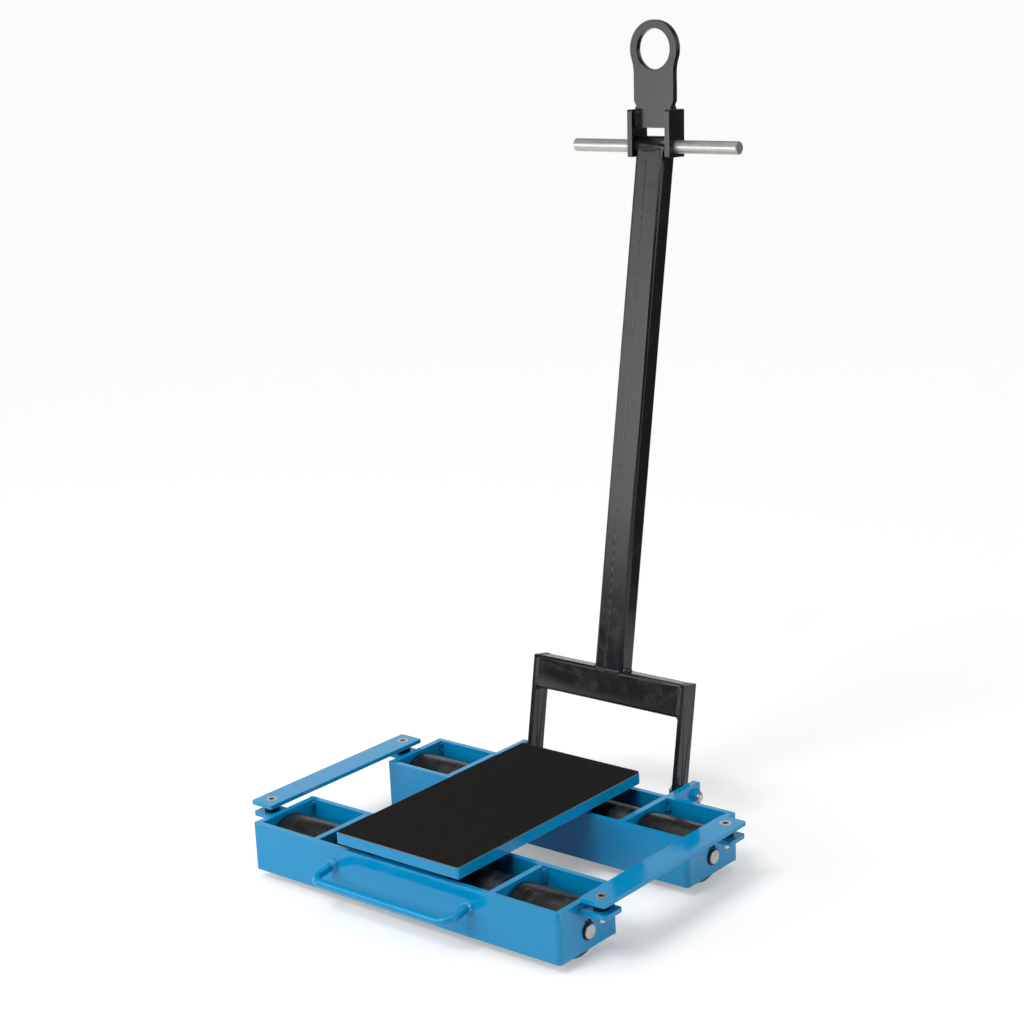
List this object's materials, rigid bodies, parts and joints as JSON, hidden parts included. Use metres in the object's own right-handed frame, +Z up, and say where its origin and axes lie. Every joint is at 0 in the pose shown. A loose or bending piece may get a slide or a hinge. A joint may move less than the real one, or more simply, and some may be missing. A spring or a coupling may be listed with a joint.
{
  "type": "steerable machine skate",
  "caption": "Machine moving skate: twin roller boxes steer in parallel under a padded load plate, pulled by a tilting drawbar with handle bar and hinged towing eye.",
  "frame": {"origin": "centre of the load face, on top of the rubber pad", "axes": "+Z up out of the load face, +Y towards the drawbar along the travel direction, +X to the right when looking along +Y; the floor is at z = -0.110"},
  "size_m": [0.634, 0.7036, 1.152],
  "materials": {
    "blue_paint": "glossy light blue enamel over welded steel",
    "black_paint": "satin black enamel over welded steel",
    "bright_steel": "drawn bright steel",
    "black_spring_steel": "blackened spring steel",
    "bronze": "plain bearing bronze",
    "nylon": "turned black nylon, dusty from use",
    "rubber": "black fine-ribbed rubber sheet"
  },
  "bodies": {
    "load_plate": {"load_plate": "blue_paint", "rubber_pad": "rubber", "pivot_pins": "bright_steel", "pivot_rings": "black_spring_steel"},
    "rear_box": {"rear_side_walls": "blue_paint", "rear_end_plates": "blue_paint", "rear_dividers": "blue_paint", "rear_pivot_hub": "blue_paint", "rear_pivot_bush": "bronze", "rear_thrust_washer": "bronze", "rear_tie_lugs": "blue_paint", "rear_weld_nuts": "blue_paint", "rear_axles": "bright_steel", "rear_axle_rings": "black_spring_steel", "rear_roller_washers": "bright_steel", "rear_tie_screws": "bright_steel", "rear_tie_spacers": "black_spring_steel", "carry_handle": "blue_paint"},
    "front_box": {"front_side_walls": "blue_paint", "front_end_plates": "blue_paint", "front_dividers": "blue_paint", "front_pivot_hub": "blue_paint", "front_pivot_bush": "bronze", "front_thrust_washer": "bronze", "front_tie_lugs": "blue_paint", "front_weld_nuts": "blue_paint", "front_axles": "bright_steel", "front_axle_rings": "black_spring_steel", "front_roller_washers": "bright_steel", "front_tie_screws": "bright_steel", "front_tie_spacers": "black_spring_steel", "drawbar_lugs": "blue_paint", "drawbar_bolts": "bright_steel", "drawbar_nuts": "blue_paint", "drawbar_spacers": "bright_steel"},
    "rear_left_outer_roller": {"rear_left_outer_roller": "nylon", "rear_left_outer_bearings": "bright_steel"},
    "rear_left_inner_roller": {"rear_left_inner_roller": "nylon", "rear_left_inner_bearings": "bright_steel"},
    "rear_right_inner_roller": {"rear_right_inner_roller": "nylon", "rear_right_inner_bearings": "bright_steel"},
    "rear_right_outer_roller": {"rear_right_outer_roller": "nylon", "rear_right_outer_bearings": "bright_steel"},
    "front_left_outer_roller": {"front_left_outer_roller": "nylon", "front_left_outer_bearings": "bright_steel"},
    "front_left_inner_roller": {"front_left_inner_roller": "nylon", "front_left_inner_bearings": "bright_steel"},
    "front_right_inner_roller": {"front_right_inner_roller": "nylon", "front_right_inner_bearings": "bright_steel"},
    "front_right_outer_roller": {"front_right_outer_roller": "nylon", "front_right_outer_bearings": "bright_steel"},
    "left_tie_bar": {"left_tie_bar": "blue_paint"},
    "right_tie_bar": {"right_tie_bar": "blue_paint"},
    "drawbar": {"yoke_beam": "black_paint", "yoke_legs": "black_paint", "drawbar_post": "black_paint", "handle_sleeve": "black_paint", "handle_bar": "bright_steel"},
    "towing_head": {"head_cheeks": "black_paint", "towing_eye": "black_paint"}
  },
  "joints": [
    {"name": "front_steer", "type": "hinge", "parent": "load_plate", "child": "front_box", "pos_m": [0, 0.14, -0.07], "axis": [0, 0, 1], "range_deg": [-30, 30]},
    {"name": "rear_steer", "type": "hinge", "parent": "load_plate", "child": "rear_box", "pos_m": [0, -0.14, -0.07], "axis": [0, 0, 1], "range_deg": [-30, 30]},
    {"name": "left_tie_turn", "type": "hinge", "parent": "front_box", "child": "left_tie_bar", "pos_m": [-0.297, 0.14, -0.0185], "axis": [0, 0, 1], "range_deg": [-30, 30]},
    {"name": "right_tie_turn", "type": "hinge", "parent": "front_box", "child": "right_tie_bar", "pos_m": [0.297, 0.14, -0.0185], "axis": [0, 0, 1], "range_deg": [-30, 30]},
    {"name": "drawbar_tilt", "type": "hinge", "parent": "front_box", "child": "drawbar", "pos_m": [0, 0.259, -0.047], "axis": [-1, 0, 0], "range_deg": [-60, 77]},
    {"name": "head_tilt", "type": "hinge", "parent": "drawbar", "child": "towing_head", "pos_m": [0, 0.43588, 0.86297], "axis": [-1, 0, 0], "range_deg": [-81, 99]},
    {"name": "rear_left_outer_spin", "type": "hinge", "parent": "rear_box", "child": "rear_left_outer_roller", "pos_m": [-0.2135, -0.14, -0.07], "axis": [1, 0, 0], "continuous": true},
    {"name": "rear_left_inner_spin", "type": "hinge", "parent": "rear_box", "child": "rear_left_inner_roller", "pos_m": [-0.1025, -0.14, -0.07], "axis": [1, 0, 0], "continuous": true},
    {"name": "rear_right_inner_spin", "type": "hinge", "parent": "rear_box", "child": "rear_right_inner_roller", "pos_m": [0.1025, -0.14, -0.07], "axis": [1, 0, 0], "continuous": true},
    {"name": "rear_right_outer_spin", "type": "hinge", "parent": "rear_box", "child": "rear_right_outer_roller", "pos_m": [0.2135, -0.14, -0.07], "axis": [1, 0, 0], "continuous": true},
    {"name": "front_left_outer_spin", "type": "hinge", "parent": "front_box", "child": "front_left_outer_roller", "pos_m": [-0.2135, 0.14, -0.07], "axis": [1, 0, 0], "continuous": true},
    {"name": "front_left_inner_spin", "type": "hinge", "parent": "front_box", "child": "front_left_inner_roller", "pos_m": [-0.1025, 0.14, -0.07], "axis": [1, 0, 0], "continuous": true},
    {"name": "front_right_inner_spin", "type": "hinge", "parent": "front_box", "child": "front_right_inner_roller", "pos_m": [0.1025, 0.14, -0.07], "axis": [1, 0, 0], "continuous": true},
    {"name": "front_right_outer_spin", "type": "hinge", "parent": "front_box", "child": "front_right_outer_roller", "pos_m": [0.2135, 0.14, -0.07], "axis": [1, 0, 0], "continuous": true}
  ],
  "couplings": [
    {"joint": "rear_steer", "follows": "front_steer", "ratio": 1},
    {"joint": "left_tie_turn", "follows": "front_steer", "ratio": -1},
    {"joint": "right_tie_turn", "follows": "front_steer", "ratio": -1}
  ]
}
